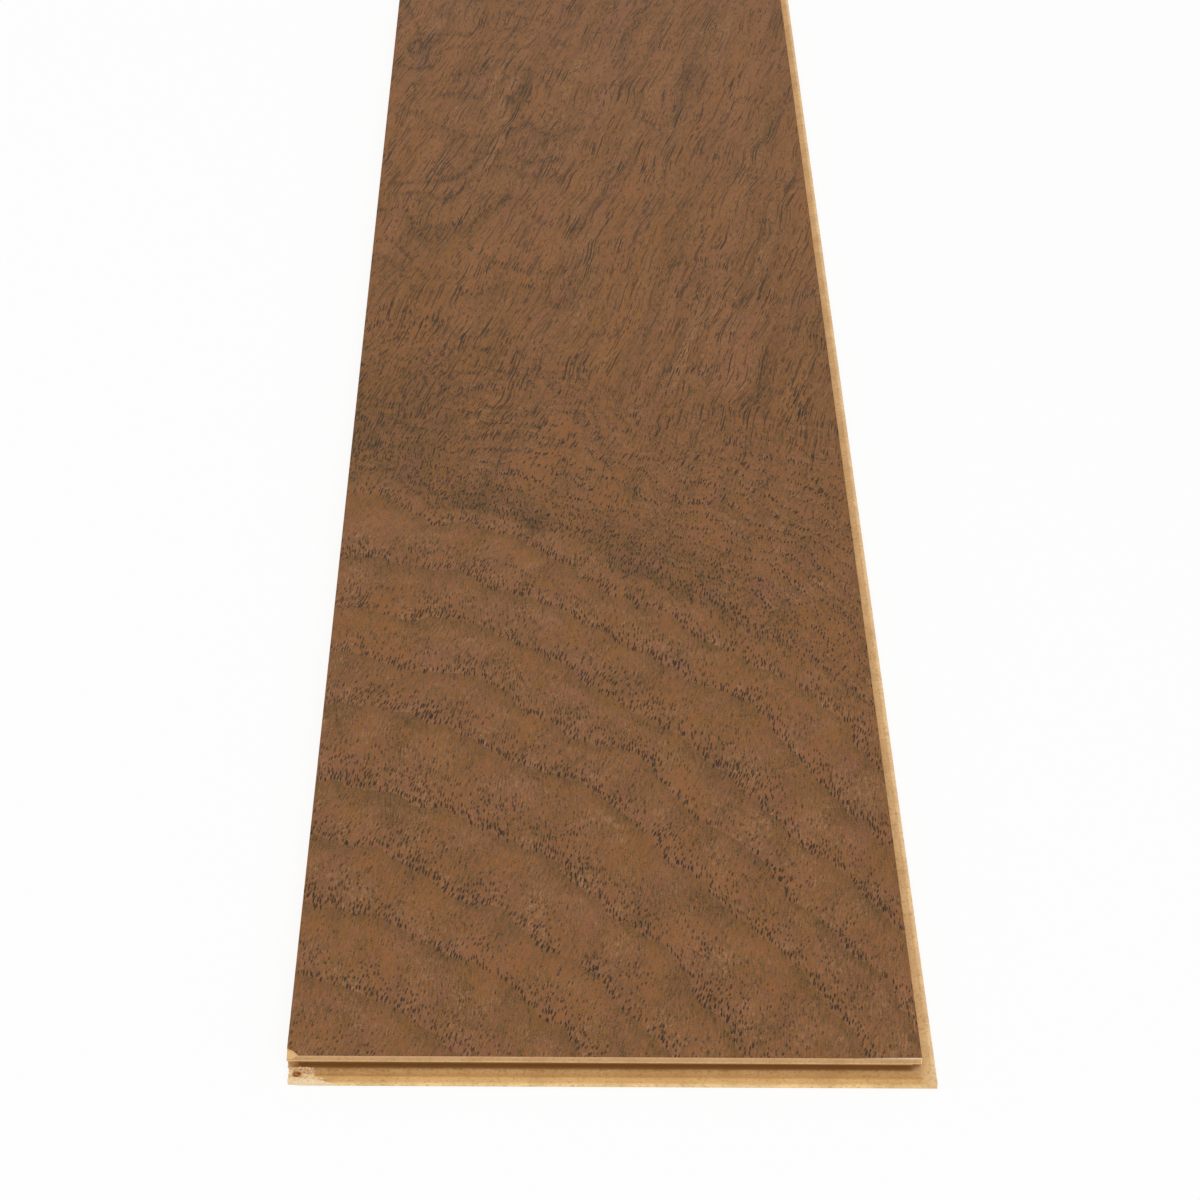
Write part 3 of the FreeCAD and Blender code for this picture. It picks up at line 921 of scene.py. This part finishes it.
def finish_piece(name, shape, material):
    """Turn a finished bmesh into a piece of the board."""
    mesh = bpy.data.meshes.new(name)
    shape.to_mesh(mesh)
    shape.free()
    mesh.materials.append(material)
    piece = bpy.data.objects.new(name, mesh)
    bpy.context.scene.collection.objects.link(piece)
    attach(piece, "root")
    return piece


def evaluated_mesh(thing):
    """A new mesh of an object as its modifiers or its curve make it."""
    bpy.context.view_layer.update()
    return bpy.data.meshes.new_from_object(
        thing.evaluated_get(bpy.context.evaluated_depsgraph_get()))


def milled_core(material):
    """The core with the rounds of its milled profile shaded smooth and its arrises crisp."""
    shape = bmesh.new()
    shape.from_mesh(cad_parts["hdf_core"].data)
    bmesh.ops.remove_doubles(shape, verts=shape.verts, dist=WELD * MM)
    for face in shape.faces:
        face.smooth = True
    for edge in shape.edges:
        edge.smooth = edge.is_manifold and edge.calc_face_angle() < SMOOTH_BELOW
    piece = finish_piece("milled_core", shape, material)
    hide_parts("hdf_core")


def hold_inside(point):
    """Keep a point of the torn fibre inside the board's box and off its underside."""
    low, high = cad_box
    margin = BOX_MARGIN * MM
    for axis in range(3):
        point[axis] = min(max(point[axis], low[axis] + margin), high[axis] - margin)


def torn_top(across, along):
    """How high the torn stub and the lip's crest beside it stand, in millimetres."""
    crest = CREST_RISE * max(0.0, 1.0 - ((along - CREST_ALONG) / CREST_HALF_WIDTH) ** 2)
    return STUB_TOP + crest * max(0.0, min(1.0, (across - CREST_FROM) / CREST_RUN_IN))


def in_pit(across, along, margin):
    """Whether a place is over the pit broken into the stub."""
    return (PIT_ACROSS[0] - margin < across < PIT_ACROSS[1] + margin
            and PIT_ALONG[0] - margin < along < PIT_ALONG[1] + margin)


def in_loop_hole(across, along):
    """Whether a place is in the hole of the loop of torn fibre."""
    return (abs(across - TORN_LOOP[0]) < LOOP_HOLE_HALF[0]
            and abs(along - TORN_LOOP[1]) < LOOP_HOLE_HALF[1])


def heap_lumps(shape):
    """Heap up lumps of torn fibre: the ridge, the loop, the pit, the stub and the crest."""
    draw = random.Random(7)

    def lump(across, along, height, radius):
        turn = Matrix.Rotation(draw.uniform(0, math.tau), 4, "Z")
        stretch = Matrix.Diagonal((draw.uniform(0.8, 1.6), draw.uniform(0.7, 1.1),
                                   draw.uniform(0.6, 1.0), 1.0))
        place = Matrix.Translation(at_board(across, along, height))
        bmesh.ops.create_icosphere(shape, subdivisions=2, radius=radius * MM,
                                   matrix=place @ turn @ stretch)

    for spot, after in zip(TORN_RIDGE, TORN_RIDGE[1:]):
        for _ in range(RIDGE_LUMPS):
            share = draw.random()
            across, along, height = (near + (next_one - near) * share
                                     for near, next_one in zip(spot, after))
            lump(across + draw.uniform(-0.25, 0.25), along + draw.uniform(-0.25, 0.15),
                 height + draw.uniform(-0.35, 0.1), draw.uniform(0.2, 0.38))
    for number in range(LOOP_LUMPS):
        angle = math.tau * number / LOOP_LUMPS
        lump(TORN_LOOP[0] + LOOP_HALF[0] * math.cos(angle),
             TORN_LOOP[1] + LOOP_HALF[1] * math.sin(angle),
             draw.uniform(2.4, 2.7), draw.uniform(0.22, 0.32))
    for _ in range(PIT_FLOOR_LUMPS):
        lump(draw.uniform(*PIT_ACROSS), draw.uniform(*PIT_ALONG), draw.uniform(0.6, 1.0),
             draw.uniform(0.3, 0.5))
    pit_across, pit_along = sum(PIT_ACROSS) / 2, sum(PIT_ALONG) / 2
    for number in range(PIT_RIM_LUMPS):
        angle = math.tau * (number + draw.uniform(-0.5, 0.5)) / PIT_RIM_LUMPS
        reach = draw.uniform(1.05, 1.35)
        lump(pit_across + PIT_RIM_HALF[0] * reach * math.cos(angle),
             pit_along + PIT_RIM_HALF[1] * reach * math.sin(angle),
             draw.uniform(1.75, 2.15), draw.uniform(0.2, 0.4))
    for _ in range(STUB_LUMPS):
        across = draw.uniform(0.7, STUB_END)
        along = draw.uniform(-4.4, 0.3)
        edge = STUB_END - STUB_END_SLANT * abs(along - STUB_END_WIDEST) + draw.uniform(-0.6, 0.4)
        if across > edge or in_loop_hole(across, along) or in_pit(across, along, PIT_MARGIN):
            continue
        lump(across, along, torn_top(across, along) + draw.uniform(-0.15, 0.1),
             draw.uniform(0.2, 0.4))
    for _ in range(CREST_LUMPS):
        reach = draw.random() ** 1.3
        across = STRIP_FROM + STRIP_LENGTH * reach
        along = -3.95 - STRIP_DRIFT * reach + draw.uniform(-0.15, 0.15)
        lump(across, along, torn_top(across, along) + draw.uniform(-0.12, 0.05),
             draw.uniform(0.14, 0.28) * (1 - 0.5 * reach))


def torn_crust(material):
    """Torn fibre standing proud round the pit, thinning out along the lip's lower edge."""
    shape = bmesh.new()
    heap_lumps(shape)
    for vertex in shape.verts:
        hold_inside(vertex.co)
    piece = finish_piece("torn_crust", shape, material)
    fuse = piece.modifiers.new("fuse", "REMESH")
    fuse.mode = "VOXEL"
    fuse.voxel_size = FUSE_VOXEL * MM
    fuse.use_smooth_shade = True
    fused = evaluated_mesh(piece)
    piece.modifiers.clear()

    shape = bmesh.new()
    shape.from_mesh(fused)
    bpy.data.meshes.remove(fused)
    bmesh.ops.smooth_vert(shape, verts=shape.verts, factor=0.5, use_axis_x=True,
                          use_axis_y=True, use_axis_z=True)
    shape.normal_update()
    for vertex in shape.verts:
        fluff = noise.fractal(vertex.co / (FLUFF_SIZE * MM), 0.8, 2.0, 3)
        vertex.co += vertex.normal * fluff * FLUFF_HEIGHT * MM
        hold_inside(vertex.co)
    for face in shape.faces:
        face.smooth = True
    shape.to_mesh(piece.data)
    shape.free()


def torn_strands(material):
    """Single fibres pulled up out of the crust, some curled over into loops."""
    draw = random.Random(11)
    data = bpy.data.curves.new("torn_strands", "CURVE")
    data.dimensions = "3D"
    data.bevel_depth = STRAND_RADIUS * MM
    data.bevel_resolution = 1
    data.resolution_u = 5
    data.use_fill_caps = True
    for number in range(STRANDS):
        if number < LOOP_STRANDS:
            across, along = draw.uniform(4.5, 6.6), draw.uniform(-3.2, 0.2)
        elif number < STUB_STRANDS:
            across, along = draw.uniform(0.6, STRIP_FROM), draw.uniform(-4.4, 0.2)
        else:
            reach = draw.random()
            across = STRIP_FROM + STRIP_LENGTH * reach
            along = -3.9 - STRIP_DRIFT * reach
        if in_pit(across, along, STRAND_PIT_MARGIN):
            continue
        heading = draw.uniform(0, math.tau)
        curl = draw.uniform(-1.3, 1.3)
        step = draw.uniform(0.15, 0.34)
        lift = draw.uniform(0.2, 0.6) if number < STUB_STRANDS else draw.uniform(0.1, 0.2)
        spline = data.splines.new("NURBS")
        spline.points.add(STRAND_POINTS - 1)
        place = Vector((across, along, torn_top(across, along)))
        for index, point in enumerate(spline.points):
            share = index / (STRAND_POINTS - 1)
            height = place.z + lift * math.sin(math.pi * min(1.0, share * 1.25))
            spot = at_board(place.x, place.y, height)
            hold_inside(spot)
            point.co = (*spot, 1.0)
            point.radius = 1.0 - STRAND_TAPER * share
            heading += curl
            place.x += step * math.cos(heading)
            place.y += step * math.sin(heading)
        spline.order_u = 3
        spline.use_endpoint_u = True
    curve = bpy.data.objects.new("torn_strands_line", data)
    bpy.context.scene.collection.objects.link(curve)
    mesh = evaluated_mesh(curve)
    bpy.data.objects.remove(curve)
    shape = bmesh.new()
    shape.from_mesh(mesh)
    bpy.data.meshes.remove(mesh)
    bmesh.ops.remove_doubles(shape, verts=shape.verts, dist=STRAND_WELD * MM)
    for vertex in shape.verts:
        hold_inside(vertex.co)
    bmesh.ops.recalc_face_normals(shape, faces=shape.faces)
    finish_piece("torn_strands", shape, material)


# The photograph's view: its turns in degrees, its lens, and its place in millimetres.
VIEW_PITCH, VIEW_YAW, VIEW_ROLL = 35.0, -1.048, 1.015
VIEW_SENSOR = 36.0
VIEW_LENS = 93.4
VIEW_PLACE = (-18.72, -1334.6, 663.45)
VIEW_REACH = (0.01, 50.0)

# Half the floor's side in metres, how far it is lifted to plain white where it is seen, and the
# level of the light all round.
FLOOR_HALF = 12.0
FLOOR_LIFT = 0.85
SKY_LEVEL = 0.62


def photo_camera():
    """The photograph's view: over the near short end, looking along the board and down at it."""
    pitch, yaw, roll = map(math.radians, (VIEW_PITCH, VIEW_YAW, VIEW_ROLL))
    ahead = Vector((-math.sin(yaw) * math.cos(pitch), math.cos(yaw) * math.cos(pitch),
                    -math.sin(pitch)))
    level = Vector((math.cos(yaw), math.sin(yaw), 0.0))
    upward = level.cross(ahead)
    right = level * math.cos(roll) + upward * math.sin(roll)
    up = upward * math.cos(roll) - level * math.sin(roll)
    data = bpy.data.cameras.new("view")
    data.sensor_width = VIEW_SENSOR
    data.lens = VIEW_LENS
    data.clip_start, data.clip_end = VIEW_REACH
    camera = bpy.data.objects.new("view", data)
    turn = Matrix((right, up, -ahead)).transposed().to_4x4()
    camera.matrix_world = Matrix.Translation(Vector(VIEW_PLACE) * MM) @ turn
    bpy.context.scene.collection.objects.link(camera)
    bpy.context.scene.camera = camera


def seen_directly(wiring):
    """One for the rays of the camera, of reflections and of clear materials, none for the rest."""
    path = wiring.node("ShaderNodeLightPath")
    return wiring.largest(path.outputs["Is Camera Ray"], path.outputs["Is Glossy Ray"],
                          path.outputs["Is Transmission Ray"])


def white_floor():
    """A floor that takes the board's shadow and is nearly plain white where it is seen."""
    mesh = bpy.data.meshes.new("floor")
    shape = bmesh.new()
    bmesh.ops.create_grid(shape, x_segments=1, y_segments=1, size=FLOOR_HALF)
    shape.to_mesh(mesh)
    shape.free()
    floor = bpy.data.objects.new("floor", mesh)
    bpy.context.scene.collection.objects.link(floor)
    material, wiring, shader = new_material("floor_white")
    shader.inputs["Base Color"].default_value = paint(FLOOR_WHITE)
    shader.inputs["Roughness"].default_value = 0.9
    shader.inputs["Specular IOR Level"].default_value = 0.0
    white = wiring.node("ShaderNodeEmission")
    lift = wiring.node("ShaderNodeMixShader")
    wiring.feed(lift.inputs["Fac"], wiring.product(seen_directly(wiring), FLOOR_LIFT))
    wiring.feed(lift.inputs[1], shader.outputs["BSDF"])
    wiring.feed(lift.inputs[2], white.outputs["Emission"])
    wiring.feed(material.node_tree.nodes["Material Output"].inputs["Surface"], lift.outputs[0])
    mesh.materials.append(material)


def white_surroundings():
    """Soft light from all round, plain white where it is seen."""
    world = bpy.data.worlds.new("studio")
    bpy.context.scene.world = world
    world.use_nodes = True
    wiring = Wiring(world.node_tree)
    background = world.node_tree.nodes["Background"]
    wiring.feed(background.inputs["Strength"],
                wiring.fade(seen_directly(wiring), SKY_LEVEL, 1.0))
    background.inputs["Color"].default_value = (1.0, 1.0, 1.0, 1.0)


def softbox(name, place, aim, size, power):
    """A lit rectangle at a place in metres, turned to its aim, of a width and depth in metres."""
    data = bpy.data.lights.new(name, "AREA")
    data.shape = "RECTANGLE"
    data.size, data.size_y = size
    data.energy = power
    lamp = bpy.data.objects.new(name, data)
    lamp.location = place
    lamp.rotation_euler = (Vector(aim) - Vector(place)).to_track_quat("-Z", "Y").to_euler()
    bpy.context.scene.collection.objects.link(lamp)


fibre_core = pressed_fibre()
frayed = torn_fibre()
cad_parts["decor_layer"].data.materials.clear()
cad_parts["decor_layer"].data.materials.append(printed_decor())
milled_core(fibre_core)
torn_crust(frayed)
torn_strands(frayed)
photo_camera()
white_floor()
white_surroundings()
softbox("overhead", place=(-0.6, 0.2, 2.6), aim=(0, 0, 0), size=(2.4, 3.0), power=24.0)
softbox("front", place=(0.5, -2.6, 1.3), aim=(0, -0.3, 0), size=(2.0, 1.2), power=12.0)

bpy.context.scene.view_settings.view_transform = "Standard"
